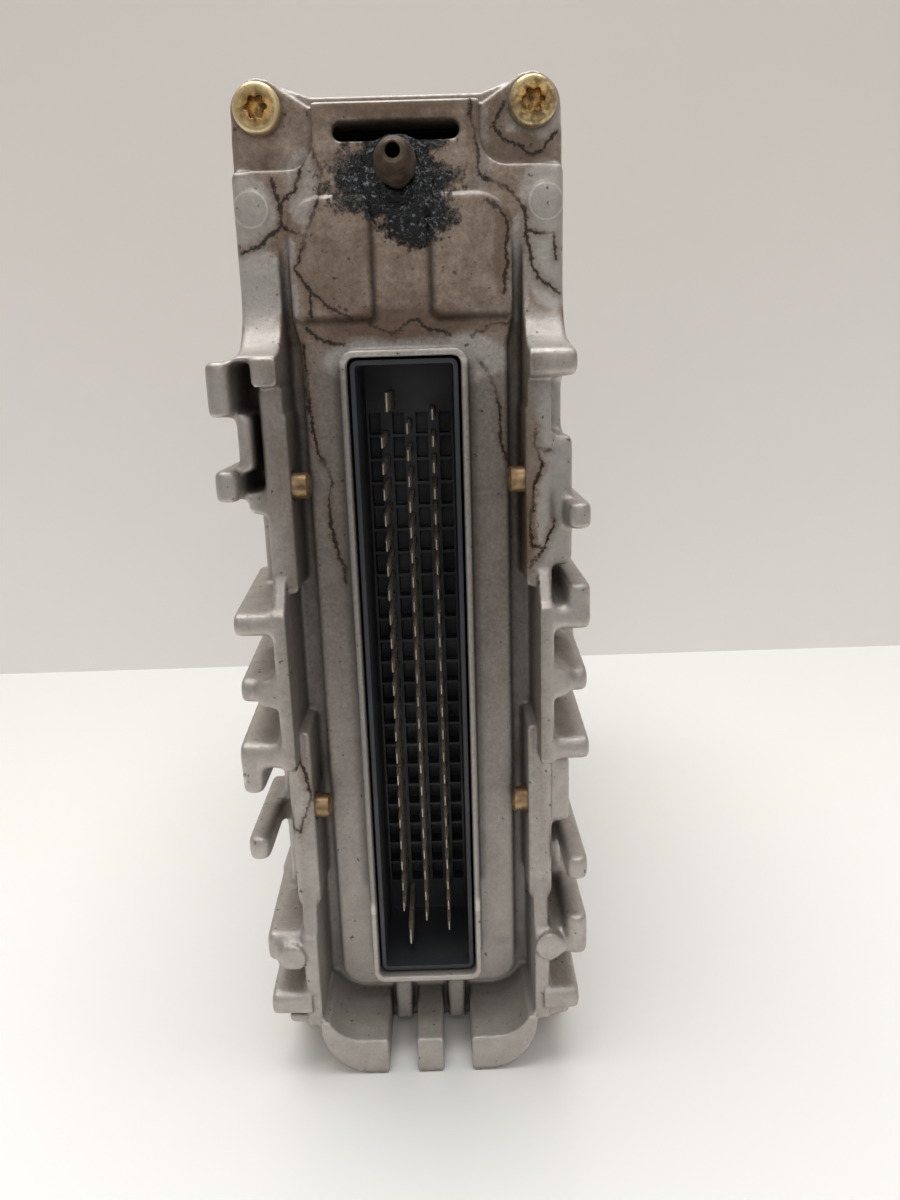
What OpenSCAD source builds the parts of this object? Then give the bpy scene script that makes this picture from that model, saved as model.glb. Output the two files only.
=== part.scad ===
// Engine control unit: a die-cast front housing with a 68-way plug bay and cooling fins,
// screwed to a rear housing that holds two circuit boards and a pressure sensor.
// Millimetres. X is the width, Y runs from the plug bay to the back, Z is up.

/* [Housing] */
// Depth from the nipple's nose to the rear wall
unit_depth = 152; // [130:1:180]
// Width of the flange and of the rear housing
housing_w = 48.6; // [46:0.2:54]
// Height of the flange between the screw ears
housing_h = 156.7; // [150:0.1:165]
// Radius of the ears round the housing screws
ear_r = 4.5; // [4.2:0.1:4.6]
// Wall thickness of both castings
wall = 2.6; // [2:0.1:3.2]
// Corner radius of the castings, seen from the front
corner_r = 4; // [2:0.5:6]
// Depth of the front housing, from the skirt's front to the joint
front_d = 24; // [23:0.5:32]
// Thickness of the seal in the joint
seal_t = 0.8; // [0.4:0.1:1.5]

/* [Front face] */
// Depth of the front plate behind the skirt's front
plate_set = 10; // [8:0.5:11]
// Depth of the groove floor behind the skirt's front
groove_set = 14.5; // [13:0.5:16]
// Depth of a screw pocket below the front plate
pocket_d = 2.5; // [1:0.1:3]
// Height of the raised pads on the front plate
pad_rise = 0.7; // [0.3:0.1:1.2]
// Length of the slot near the top
slot_w = 18.2; // [10:0.2:20]
// Height of the slot near the top
slot_h = 2.7; // [1.6:0.1:3]
// Diameter of the ejector marks on the plate
ejector_d = 4.9; // [3:0.1:6]

/* [Skirt] */
// Half width between the forward side walls
skirt_half = 19.2; // [18.5:0.1:20]
// Thickness of the side walls
skirt_t = 2.2; // [1.5:0.1:3]
// Half width of the bottom lip
lip_half = 18.5; // [17.9:0.1:18.5]
// Thickness of the bottom lip
lip_t = 6.65; // [4:0.05:8]
// Half width of the tooth in the middle of the lip
tooth_half = 2.3; // [1.5:0.1:3]
// Width of each slot beside the tooth
lip_slot_w = 4.85; // [3:0.05:6]
// Reach of the long fins from the middle plane
fin_reach = 28.1; // [27:0.1:30]
// Thickness of the ribs on the rear housing
fin_t = 3.9; // [2.5:0.1:5]
// Rise of a fin's top face towards the back, in degrees
fin_draft = 6; // [0:0.5:9]

/* [Plug] */
// Distance between neighbouring blades of a row
blade_pitch = 4; // [3.6:0.1:4.2]
// Distance between the blade rows
row_gap = 3.9; // [3.4:0.1:4]
// Blades in the longest row
blade_count = 23; // [15:1:23]
// Width of a signal blade
blade_w = 1.6; // [1:0.1:1.8]
// Thickness of a signal blade
blade_t = 0.6; // [0.4:0.1:0.8]
// Width of a power blade
power_w = 2.8; // [2:0.1:3]
// Thickness of a power blade
power_t = 0.8; // [0.6:0.1:1]
// Length of a blade in front of the connector floor
blade_l = 14.7; // [10:0.1:16]
// Height of the middle of the blade field
plug_z = 67.3; // [66:0.1:70]
// Half width of the metal rim round the plug
rim_half = 9.35; // [9:0.05:10]
// Wall of the metal rim
rim_t = 1.05; // [0.8:0.05:1.4]
// How far the rim stands in front of the plate
rim_rise = 6.5; // [4:0.1:8]
// Wall of the plastic shroud
shroud_t = 0.7; // [0.5:0.05:1]
// Gap between the rim and the shroud
shroud_gap = 0.4; // [0.2:0.05:0.8]
// Diameter of the four guide pins
guide_d = 4; // [3:0.1:4.4]
// Height of a guide pin pair above or below the middle of the blades
guide_rise = 26.75; // [22:0.25:32]
// Clearance of pieces that fit into each other
fit = 0.05; // [0.02:0.01:0.15]

/* [Nipple and sensor] */
// Largest diameter of the nipple
nipple_d = 5.8; // [4.5:0.1:6]
// Diameter of the nipple's nose
nose_d = 3; // [2.4:0.1:4]
// Bore of the nipple
nipple_bore = 2; // [1:0.1:2.2]
// Length of the nipple in front of the plate
nipple_l = 14.5; // [12:0.5:18]
// Distance of the nipple's axis below the top of the flange
nipple_drop = 11.4; // [10.8:0.1:12]
// Length of the hose to the pressure sensor
hose_l = 26; // [15:1:40]
// Wall of the hose
hose_wall = 1.2; // [0.8:0.1:1.6]

/* [Boards] */
// Thickness of the circuit boards
board_t = 1.6; // [1:0.1:2]
// Distance of each board from the middle plane
board_x = 12; // [11:0.1:12.2]
// Gap between the circuit boards and the rear wall
board_end_gap = 5.7; // [2:0.1:20]
// Engagement of a board in its guide rails
rail_bite = 2.5; // [1.5:0.1:3.5]

/* [Hidden] */
$fn = 48;
// Overlap that makes two bodies of one casting a single solid
lap = 0.5;

// Depth of the skirt's front plane: the nipple's nose is the foremost point
front_y = -unit_depth / 2 + nipple_l - plate_set;
rear_t = unit_depth - nipple_l + plate_set;
can_t = front_d + seal_t;
half_w = housing_w / 2;
floor_t = groove_set + wall;

// Heights are noted for a housing of this height and move with it
noted_h = 156.7;
function at(z) = z * housing_h / noted_h;
function span_at(span) = [at(span[0]), at(span[1])];

// Housing screws, with their ears and the pockets round the upper ones
screw_x = half_w - 4.6;
screw_top_z = housing_h - 2.1;
screw_low_x = half_w - 2.8;
screw_low_z = 4.6;
screw_head_r = 3.45;
screw_head_l = 1.8;
screw_edge_r = 0.7;
screw_r = 2;
screw_l = 24;
screw_tip = 0.6;
screw_clear = 0.2;
socket_r = 1.65;
socket_core_r = 0.8 * socket_r;
socket_lobe_r = 0.28 * socket_r;
socket_d = 1.3;
upper_seat_t = plate_set + pocket_d;
screw_places = [[screw_x, screw_top_z, upper_seat_t], [screw_low_x, screw_low_z, groove_set]];
pocket_half = screw_x - 7.8;
pocket_z = housing_h - 10.5;
pocket_over = 10;
shoulder_x = pocket_half + 0.6;
shoulder_sink = 0.15;

// Front plate: its top edge lies a little below the flange's
face_inset = 0.3;
plate_top_z = housing_h - 1.8;
slot_z = housing_h - 5.65;
slot_flat = 0.1;
pad_in = 4.3;
pad_out = 16.2;
pad_low_z = at(125.3);
pad_top_z = at(142.3);
pad_r = 1.2;
pad_outer_r = 4.8;
ejector_x = screw_x + 1.5;
ejector_z = at(141);
ejector_rise = 0.35;
nipple_z = housing_h - nipple_drop;
nipple_boss_r = 5.2;
nipple_boss_rise = 0.4;
groove_top_z = at(137.5);
groove_deep_z = at(122);
groove_low_z = at(112);
ledge_z = at(120.6);
ledge_t = 1;
ledge_h = 0.9;
ramp_r = plate_set - ledge_t;

// Plug bay layout
field_half = blade_pitch * (blade_count - 1) / 2;
shroud_half = rim_half - rim_t - shroud_gap;
shroud_low = plug_z - field_half - 6.4;
shroud_top = plug_z + field_half + 8.2;
shroud_r = 0.6;
rim_low = shroud_low - shroud_gap - rim_t;
rim_top = shroud_top + shroud_gap + rim_t;
rim_r = 2.2;
rim_front_t = plate_set - rim_rise;
shroud_front_t = rim_front_t + 1.5;
blade_tip_t = rim_front_t + 4.5;
base_t = blade_tip_t + blade_l;
collar_end_t = base_t - 1.1;
header_seal_t = 0.6;
flange_front_t = collar_end_t + header_seal_t;
flange_over = 2.6;
flange_r = 2;
base_wall = 3.5;
base_end_t = base_t + base_wall;
plateau_half = rim_half + 6.2;
plateau_low = rim_low - 5.1;
plateau_r = 4;
foot_rib_in = tooth_half + 1;
foot_rib_w = 3;
foot_rib_low = 2;
foot_rib_t = plate_set + 1;
cell_w = 1.9;
cell_floor = 0.5;
cell_d = base_wall - cell_floor;
cell_rung = 0.5;
tip_l = 1.6;
leg_gap = 2.4;
first_leg_t = 2;

// Side walls, guide pin bosses and guide pins; a ramp leads from a wall's top back to the boss
skirt_out = skirt_half + skirt_t;
lip_r = 9.5;
lip_inner_r = 6.5;
lip_tip_z = 10.5;
lip_wall = 0.9;
wall_r = 0.8;
boss_half = plateau_half + 2;
boss_out = boss_half + 3.9;
boss_t = 4.2;
boss_low_span = span_at([31, 62]);
boss_high_span = span_at([85, 116]);
low_wall_t = 1;
low_wall_half = lip_half - 0.3;
low_wall_out = low_wall_half + 2.5;
low_wall_span = span_at([9, 26.4]);
low_wall_ramp = at(8);
mid_wall_span = span_at([57, 83]);
mid_wall_ramp = at(5);
guide_axis_t = boss_t + guide_d / 2 + 0.8;
guide_in = boss_half - 2.55;
guide_shift = 7.3;
guide_z = [plug_z - guide_rise + guide_shift, plug_z + guide_rise + guide_shift];
guide_edge = 0.5;
guide_sink = 0.2;
guide_wall = 0.6;

// Fins that cross a side wall: heights of both edges, front depth, and how far they stay short of the reach
left_bars = [[[12, 16.3], 0, 1.5], [[21.5, 27], 1.6, 1.3], [[57.5, 62], 0, 0.1],
    [[68.2, 72.2], 1.4, 0.8], [[79.3, 83.1], 0, 0.9]];
right_bars = [[[11.4, 15.6], 0, 2.4], [[22.3, 26.4], 1.4, 3.1], [[57.5, 61.4], 0, 1.1],
    [[68.4, 72.4], 1.4, 1.3], [[78.9, 82.8], 0, 1.2]];
// The bar under the right ramp
top_bar = [116.5, 120.6];
top_bar_short = 3.3;
// Free pins beside the walls: heights of both edges
left_pins = [[41.8, 45.8], [53.4, 59.6], [99.9, 104.6], [112.1, 119.9]];
right_pins = [[22.3, 29.5], [36.2, 40.3], [80.9, 86.2], [94.4, 98.4]];
right_pin_short = 1.1;
pin_w = 3.6;
pin_root_r = 2;
root_t = groove_set - 2;
nose_r = 1.4;
// Round bosses in front of some bars: X and height
left_discs = [[22.7, 23.3], [22.4, 70.2]];
right_discs = [[20.8, 23.9], [21.9, 70.5]];
disc_r = 2.5;
// Lugs and webs between the fins: X from and to, heights of both edges, front depth
left_lugs = [[17.8, 21.6, [116.2, 120.1], 0.3], [22.4, 24.7, [104, 112.6], 2.5],
    [21, 24.2, [97.3, 101], 4.5], [20, 24.4, [9, 11], 2]];
right_lugs = [[21, 24.8, [88, 108], 5], [21, 24.6, [44, 56], 5.5], [20, 24.4, [9, 11], 2]];

// Rear housing: ribs continue the fins, rails hold the boards
rear_rib_z = [14, 24, 59.6, 70.2, 81];
rear_rib_fade = 0.6;
rear_rib_end = rear_t - 10;
rear_rib_slope = 3;
rear_r = 6;
rail_w = 2;
rail_clear = 0.1;
rail_h = 2 * rail_bite;
edge_clear = 0.2;
board_low_z = wall + rail_bite + edge_clear;
board_top_z = housing_h - wall - rail_bite - edge_clear;
board_front_t = base_end_t + 5;
board_end_t = rear_t - wall - board_end_gap;
board_l = board_end_t - board_front_t;
boss_r = screw_r + 2.2;
boss_l = 17;
boss_floor = 2;
inner_r = corner_r - wall / 2;
seal_inset = 0.4;

// Sensor chain: nipple tail, hose and sensor port lie on one axis
shank_r = nipple_d / 2 - 0.8;
olive_l = 7;
olive_flat = 1;
olive_back = 1.5;
nose_edge = 0.3;
nipple_flange_r = 4.4;
nipple_flange_t = 1.6;
nipple_seat_t = plate_set + wall;
nipple_back_t = nipple_seat_t + nipple_flange_t;
tail_r = 1.8;
tail_l = 7;
hose_start_t = nipple_back_t + 0.4;
hose_end_t = hose_start_t + hose_l;
sensor_l = 18;
sensor_h = 12;
sensor_half = 7;
sensor_r = 1;
sensor_top_z = housing_h - wall - rail_h - edge_clear;

// Parts on the boards: places along a board of the noted length, and heights
noted_board_l = 108;
function along(t) = board_front_t + t * board_l / noted_board_l;
chip_h = 2.6;
controller_at = [34, 62];
controller_size = 26;
controller_h = 3.6;
memory_t = 34;
memory_z = [96, 116];
memory_size = [37, 15];
memory_h = 4.6;
driver_t = [44, 62, 80];
driver_z = [44, 66];
driver_size = [12, 15];
crystal_gap = 4;
crystal_z = 72;
crystal_size = [11, 4.6];
crystal_h = 3.6;
crystal_r = 0.8;
capacitor_t = 92;
capacitor_z = [38, 52];
capacitor_r = 6;
capacitor_l = 20;
coil_at = [72, 32];
coil_r = 8;
coil_hole_r = 3;
coil_h = 8;
link_at = [86, 104];
link_rise = 8;
link_foot = 7;
link_t = 0.4;

// Power transistors in a row on a cooling ledge, under a strip with a screw at each end
cool_ledge_in = 19;
cool_ledge_l = 36;
cool_ledge_gap = 0.6;
cool_z = span_at([36, 100]);
transistor_count = 7;
transistor_t = 3.2;
transistor_l = 14;
transistor_set = 3;
transistor_gap = 1.2;
clamp_room = 4;
transistor_pitch = (cool_z[1] - cool_z[0] - 2 * clamp_room) / transistor_count;
clamp_in = -cool_ledge_in + transistor_t;
clamp_t = 1;
clamp_w = 7;
clamp_over = 3;
clamp_screw_z = [cool_z[0] + clamp_room / 2, cool_z[1] - clamp_room / 2];
clamp_screw_t = floor_t + cool_ledge_l - 9.5;
clamp_screw_r = 1.2;
clamp_screw_head_r = 2;
clamp_screw_head_l = 0.8;
clamp_screw_bite = 1;

// A flat profile in X and Z, made solid between two depths behind the skirt's front
module slab(from_t, to_t) {
    translate([0, front_y + to_t, 0])
        rotate([90, 0, 0])
            linear_extrude(to_t - from_t)
                children();
}

// A flat profile in depth and Z, made solid between two values of X
module side_slab(from_x, to_x) {
    translate([from_x, front_y, 0])
        rotate([90, 0, 90])
            linear_extrude(to_x - from_x)
                children();
}

// A flat profile in X and depth, made solid between two heights
module plan_slab(from_z, to_z) {
    translate([0, front_y, from_z])
        linear_extrude(to_z - from_z)
            children();
}

// A round rod along Y between two depths
module y_rod(x, z, r, from_t, to_t) {
    translate([x, front_y + to_t, z])
        rotate([90, 0, 0])
            cylinder(h = to_t - from_t, r = r);
}

module both_sides() {
    children();
    mirror([1, 0, 0])
        children();
}

// Rectangle with round corners
module round_rect(low, high, r) {
    translate([low[0] + r, low[1]])
        square([high[0] - low[0] - 2 * r, high[1] - low[1]]);
    translate([low[0], low[1] + r])
        square([high[0] - low[0], high[1] - low[1] - 2 * r]);
    for (x = [low[0] + r, high[0] - r], y = [low[1] + r, high[1] - r])
        translate([x, y])
            circle(r);
}

// Points of a round corner
function corner(x, y, r, from_a, to_a) =
    [for (i = [0:4]) let (a = from_a + (to_a - from_a) * i / 4) [x + r * cos(a), y + r * sin(a)]];

// Side view of a fin: a round nose, a flat underside and a top that rises to the back
function fin_outline(span, from_t, end_t) = concat(
    corner(from_t + nose_r, span[0] + nose_r, nose_r, 270, 180),
    corner(from_t + nose_r, span[1] - nose_r, nose_r, 180, 90),
    [[end_t, span[1] + (end_t - from_t) * tan(fin_draft)], [end_t, span[0]]]);

// An ear round an upper screw, with a straight shoulder down to the top edge
module ear_outline(r, top_z) {
    rise = top_z - screw_top_z;
    run = screw_x - shoulder_x;
    inner = r - shoulder_sink;
    touch = atan2(rise, -run) - acos(inner / norm([run, rise]));
    translate([screw_x, screw_top_z])
        circle(r);
    polygon([[screw_x, screw_top_z - lap], [screw_x + inner * cos(touch), screw_top_z + inner * sin(touch)],
        [shoulder_x, top_z], [shoulder_x - lap, top_z - lap]]);
}

// Outline of the castings: a rounded plate with a screw ear at each corner
module flange_outline(inset, top_z) {
    round_rect([-half_w + inset, inset], [half_w - inset, top_z], corner_r);
    both_sides() {
        ear_outline(ear_r - inset, top_z);
        translate([screw_low_x, screw_low_z])
            circle(ear_r - inset);
    }
}

// The space inside the castings' walls, seen from the front
module inner_outline() {
    round_rect([-half_w + wall, wall], [half_w - wall, housing_h - wall], inner_r);
}

// The opening that a rim or a collar of the plug bay surrounds
module rim_outline(inset) {
    round_rect([-rim_half + inset, rim_low + inset], [rim_half - inset, rim_top - inset], rim_r - inset);
}

// Floor plan of the plateau that carries the plug's rim
module plateau_outline() {
    round_rect([-plateau_half, plateau_low], [plateau_half, groove_top_z + lap], plateau_r);
}

// A raised pad, with a large radius at its upper outer corner
module pad_outline() {
    difference() {
        round_rect([pad_in, pad_low_z], [pad_out, pad_top_z], pad_r);
        difference() {
            translate([pad_out - pad_outer_r, pad_top_z - pad_outer_r])
                square(2 * pad_outer_r);
            translate([pad_out - pad_outer_r, pad_top_z - pad_outer_r])
                circle(pad_outer_r);
        }
    }
}

// The slot near the top; the nipple's boss bulges into its lower edge
module slot_outline() {
    difference() {
        round_rect([-slot_w / 2, slot_z - slot_h / 2], [slot_w / 2, slot_z + slot_h / 2],
            (slot_h - slot_flat) / 2);
        translate([0, nipple_z])
            circle(nipple_boss_r);
    }
}

// The bottom lip: a bar whose ends curl up into thin tips, with a slot each side of a middle tooth
module lip_outline() {
    difference() {
        intersection() {
            round_rect([-lip_half, 0], [lip_half, lip_tip_z + 2 * lip_r], lip_r);
            translate([-lip_half, 0])
                square([2 * lip_half, lip_tip_z]);
        }
        round_rect([-lip_half + lip_wall, lip_t], [lip_half - lip_wall, lip_tip_z + 2 * lip_r], lip_inner_r);
        both_sides()
            translate([tooth_half, -lap])
                square([lip_slot_w, lip_t + 2 * lap]);
    }
}

// A boss plate that carries a guide pin
module boss_plate(span) {
    slab(boss_t, floor_t)
        round_rect([boss_half, span[0]], [boss_out, span[1]], wall_r);
}

// A side wall of the plug bay, whose top ramps back to the boss plate above it
module side_wall(in_x, out_x, span, from_t, ramp) {
    side_slab(in_x, out_x)
        polygon(concat(
            corner(from_t + wall_r, span[0] + wall_r, wall_r, 270, 180),
            corner(from_t + wall_r, span[1] - wall_r, wall_r, 180, 90),
            [[boss_t, span[1] + ramp], [floor_t, span[1] + ramp], [floor_t, span[0]]]));
}

module fin_bar(span, from_t, in_x, reach) {
    side_slab(in_x, reach)
        polygon(fin_outline(span_at(span), from_t, front_d));
}

// A free pin that stands forward beside the wall, with a filleted root on the flange
module fin_pin(span, reach) {
    plan_slab(at(span[0]), at(span[1]))
        polygon(concat(
            [[half_w - wall, front_d], [half_w - wall, root_t + pin_root_r]],
            corner(reach - pin_w - pin_root_r, root_t, pin_root_r, 90, 0),
            corner(reach - pin_w + nose_r, nose_r, nose_r, 180, 270),
            corner(reach - nose_r, nose_r, nose_r, 270, 360),
            [[reach, front_d]]));
}

module fin_lug(lug) {
    slab(lug[3], floor_t)
        round_rect([lug[0], at(lug[2][0])], [lug[1], at(lug[2][1])], wall_r);
}

// All the fins of one side
module fin_group(bars, pins, pin_reach, discs, lugs) {
    for (bar = bars)
        fin_bar(bar[0], bar[1], skirt_half + lap, fin_reach - bar[2]);
    for (span = pins)
        fin_pin(span, pin_reach);
    for (disc = discs)
        y_rod(disc[0], at(disc[1]), disc_r, 0, groove_set + lap);
    for (lug = lugs)
        fin_lug(lug);
}

module side_fins() {
    mirror([1, 0, 0])
        fin_group(left_bars, left_pins, fin_reach, left_discs, left_lugs);
    fin_group(right_bars, right_pins, fin_reach - right_pin_short, right_discs, right_lugs);
    fin_bar(top_bar, 0, boss_half, fin_reach - top_bar_short);
}

// The edge under the front plate's side flanges, with a hollow ramp up to the plate
module side_ramp() {
    side_slab(boss_half, half_w - face_inset)
        difference() {
            translate([ledge_t, ledge_z - ledge_h])
                square([floor_t - ledge_t, ramp_r + ledge_h]);
            translate([ledge_t, ledge_z + ramp_r])
                circle(ramp_r);
        }
}

// Everything that stands in front of the flange
module front_face() {
    slab(plate_set, floor_t)
        difference() {
            flange_outline(face_inset, plate_top_z);
            translate([-housing_w, -lap])
                square([2 * housing_w, ledge_z + lap]);
        }
    slab(plate_set, floor_t - lap)
        plateau_outline();
    slab(0, floor_t)
        lip_outline();
    both_sides() {
        side_wall(low_wall_half, low_wall_out, low_wall_span, low_wall_t, low_wall_ramp);
        side_wall(skirt_half, skirt_out, mid_wall_span, 0, mid_wall_ramp);
        boss_plate(boss_low_span);
        boss_plate(boss_high_span);
        side_ramp();
        slab(foot_rib_t, floor_t)
            translate([foot_rib_in, foot_rib_low])
                square([foot_rib_w, plateau_low]);
        slab(plate_set - pad_rise, plate_set + lap)
            pad_outline();
        y_rod(ejector_x, ejector_z, ejector_d / 2, plate_set - ejector_rise, plate_set + lap);
    }
    y_rod(0, nipple_z, nipple_boss_r, plate_set - nipple_boss_rise, plate_set + lap);
    slab(rim_front_t, collar_end_t)
        rim_outline(0);
}

// Grooves beside the pads, which deepen downwards into the channel round the plateau
module upper_grooves() {
    out_x = boss_half + face_inset;
    in_x = pad_out + face_inset / 2;
    both_sides()
        intersection() {
            slab(-lap, groove_set)
                polygon([[plateau_half, groove_low_z], [plateau_half, groove_deep_z], [in_x, pad_low_z],
                    [in_x, groove_top_z], [out_x, groove_top_z], [out_x, groove_low_z]]);
            side_slab(0, half_w)
                polygon([[-lap, groove_low_z], [groove_set, groove_low_z], [groove_set, groove_deep_z],
                    [plate_set, groove_top_z], [-lap, groove_top_z]]);
        }
}

module front_housing() color("#a9a49b") {
    difference() {
        union() {
            slab(groove_set, front_d)
                flange_outline(0, housing_h);
            front_face();
            side_fins();
        }
        upper_grooves();
        // Hollow behind the wall, kept clear of the screw bosses and the plug's collar
        difference() {
            slab(floor_t, front_d + lap)
                inner_outline();
            both_sides() {
                for (place = screw_places)
                    y_rod(place[0], place[1], boss_r, floor_t - lap, front_d);
            }
            slab(floor_t - lap, collar_end_t)
                rim_outline(0);
        }
        slab(plate_set + wall, floor_t + lap)
            round_rect([-pocket_half + lap, rim_top + wall], [pocket_half - lap, plate_top_z - wall], pad_r);
        slab(rim_front_t - lap, front_d)
            rim_outline(rim_t);
        slab(plate_set - pad_rise - lap, floor_t + lap)
            slot_outline();
        y_rod(0, nipple_z, shank_r + fit, plate_set - pad_rise - lap, floor_t + lap);
        both_sides() {
            slab(plate_set - lap, upper_seat_t)
                round_rect([pocket_half, pocket_z], [half_w + pocket_over, housing_h + pocket_over], corner_r);
            for (place = screw_places)
                y_rod(place[0], place[1], screw_r + screw_clear, plate_set - lap, front_d + lap);
            for (z = guide_z)
                translate([boss_half - lap, front_y + guide_axis_t, z])
                    rotate([0, 90, 0])
                        cylinder(h = boss_out - guide_wall - boss_half + lap, r = guide_d / 2 + fit);
        }
    }
    difference() {
        cooling_ledge();
        for (z = clamp_screw_z)
            x_rod(-cool_ledge_in - clamp_screw_bite - fit, z, clamp_screw_r + fit, clamp_screw_bite + 2 * lap);
    }
}

// A ledge inside the front housing that carries the heat of the power transistors to the fins
module cooling_ledge() {
    slab(floor_t - lap, floor_t + cool_ledge_l)
        translate([-half_w + wall + cool_ledge_gap, cool_z[0]])
            square([half_w - wall - cool_ledge_gap - cool_ledge_in, cool_z[1] - cool_z[0]]);
}

// The rear housing's outside or inside, told apart by how far it is set in
module rear_form(inset, r) {
    intersection() {
        slab(can_t - inset, rear_t - inset)
            round_rect([-half_w + inset, inset], [half_w - inset, housing_h - inset], r);
        side_slab(-half_w, half_w)
            round_rect([can_t - inset - 2 * r, inset], [rear_t - inset, housing_h - inset], r);
        plan_slab(0, housing_h)
            round_rect([-half_w + inset, can_t - inset - 2 * r], [half_w - inset, rear_t - inset], r);
    }
}

// One rib along the rear housing, which fades out towards the back
module rear_rib(z) {
    proud = fin_reach - half_w;
    plan_slab(at(z) - fin_t / 2, at(z) + fin_t / 2)
        polygon([[half_w - wall / 2, can_t], [half_w + proud, can_t],
            [half_w + proud * rear_rib_fade, rear_rib_end - rear_rib_slope], [half_w - wall / 2, rear_rib_end]]);
}

// Guide rails for one board edge, on the floor or under the roof
module board_rails(low, high) {
    slab(can_t + boss_l, rear_t - wall / 2)
        difference() {
            translate([board_x - rail_w - rail_clear, low])
                square([board_t + 2 * rail_w + 2 * rail_clear, high - low]);
            translate([board_x - rail_clear, board_low_z - edge_clear])
                square([board_t + 2 * rail_clear, board_top_z - board_low_z + 2 * edge_clear]);
        }
}

module rear_housing() color("#9c9a96") {
    difference() {
        union() {
            rear_form(0, rear_r);
            both_sides() {
                for (z = rear_rib_z)
                    rear_rib(z);
                slab(can_t, can_t + boss_l) {
                    ear_outline(ear_r, housing_h);
                    translate([screw_low_x, screw_low_z])
                        circle(ear_r);
                }
            }
        }
        difference() {
            rear_form(wall, rear_r - wall / 2);
            both_sides() {
                for (place = screw_places)
                    y_rod(place[0], place[1], boss_r, can_t - wall - lap, can_t + boss_l);
                board_rails(0, wall + rail_h);
                board_rails(housing_h - wall - rail_h, housing_h);
            }
        }
        both_sides()
            for (place = screw_places)
                y_rod(place[0], place[1], screw_r + fit, can_t - lap, can_t + boss_l - boss_floor);
    }
}

module housing_seal() color("#1d1d1f") {
    difference() {
        slab(front_d, can_t)
            flange_outline(seal_inset, housing_h - seal_inset);
        difference() {
            slab(front_d - lap, can_t + lap)
                inner_outline();
            both_sides()
                for (place = screw_places)
                    y_rod(place[0], place[1], boss_r, front_d - lap, can_t + lap);
        }
        both_sides()
            for (place = screw_places)
                y_rod(place[0], place[1], screw_r + screw_clear, front_d - lap, can_t + lap);
    }
}

// Pan-head screw along Y, with a six-lobed socket
module housing_screw(x, z, seat_t) {
    head_t = seat_t - screw_head_l;
    difference() {
        translate([x, front_y + head_t, z])
            rotate([-90, 0, 0])
                rotate_extrude()
                    polygon(concat([[0, 0]],
                        corner(screw_head_r - screw_edge_r, screw_edge_r, screw_edge_r, 270, 360),
                        [[screw_head_r, screw_head_l], [screw_r, screw_head_l], [screw_r, screw_l],
                         [screw_r - screw_tip, screw_l + screw_tip], [0, screw_l + screw_tip]]));
        slab(head_t - lap, head_t + socket_d)
            translate([x, z]) {
                circle(socket_core_r);
                for (a = [0:60:300])
                    rotate(a)
                        translate([socket_r - socket_lobe_r, 0])
                            circle(socket_lobe_r);
            }
    }
}

module housing_screws() color("#b08a3c") {
    for (side = [-1, 1], place = screw_places)
        housing_screw(side * place[0], place[1], place[2]);
}

// Places of a row's blades: each row nearer the left is one blade shorter
function row_z(row) =
    [for (i = [0:blade_count - 1 - row]) plug_z + field_half - blade_pitch * (i + row / 2)];
function row_x(row) = row_gap * (1 - row);
function power_z() = [plug_z + field_half + blade_pitch / 2, plug_z - field_half - blade_pitch / 2];
function power_x() = row_x(2) + row_gap / 4;

// Every blade slot of the floor, slightly wider than the blades
module blade_slots(clear) {
    for (row = [0:2], z = row_z(row))
        translate([row_x(row), z])
            square([blade_t + 2 * clear, blade_w + 2 * clear], center = true);
    for (z = power_z())
        translate([power_x(), z])
            square([power_t + 2 * clear, power_w + 2 * clear], center = true);
}

// Sunk cells between and beside the blade rows, one per pitch
module floor_cells() {
    for (column = [0:3], i = [0:blade_count - 2])
        translate([row_gap * (1.5 - column) - cell_w / 2,
                   plug_z - field_half + blade_pitch * i + cell_rung / 2])
            square([cell_w, blade_pitch - cell_rung]);
}

// The plastic shroud's outline, inside or outside its wall
module shroud_outline(inset, r) {
    round_rect([-shroud_half + inset, shroud_low + inset], [shroud_half - inset, shroud_top - inset], r);
}

module connector_body() color("#16181d") {
    difference() {
        union() {
            slab(shroud_front_t, base_end_t)
                shroud_outline(0, rim_r - rim_t);
            slab(flange_front_t, base_end_t)
                round_rect([-rim_half - flange_over, rim_low - flange_over],
                    [rim_half + flange_over, rim_top + flange_over], flange_r);
        }
        slab(shroud_front_t - lap, base_t)
            shroud_outline(shroud_t, shroud_r);
        slab(base_t - lap, base_t + cell_d)
            floor_cells();
        slab(base_t - lap, base_end_t + lap)
            blade_slots(fit);
    }
}

module connector_seal() color("#222326") {
    slab(collar_end_t, flange_front_t)
        difference() {
            rim_outline(0);
            shroud_outline(-fit, rim_r - rim_t + fit);
        }
}

// One blade: a pointed tab through the floor, bent at its back towards the main board
module blade(x, z, w, t, bend_t) {
    plan_slab(z - w / 2, z + w / 2)
        polygon([[x - t / 6, blade_tip_t], [x + t / 6, blade_tip_t], [x + t / 2, blade_tip_t + tip_l],
            [x + t / 2, bend_t - t], [board_x, bend_t - t], [board_x, bend_t],
            [x - t / 2, bend_t], [x - t / 2, blade_tip_t + tip_l]]);
}

// Depth at which the legs of a row bend to the board
function leg_t(row) = board_front_t + first_leg_t + leg_gap * (row + 1);

module blade_row(row) {
    for (z = row_z(row))
        blade(row_x(row), z, blade_w, blade_t, leg_t(row));
}

module blades_right_row() color("#b9a98f") blade_row(0);
module blades_middle_row() color("#b9a98f") blade_row(1);
module blades_left_row() color("#b9a98f") blade_row(2);

module power_blades() color("#b9a98f") {
    for (z = power_z())
        blade(power_x(), z, power_w, power_t, leg_t(3));
}

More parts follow.
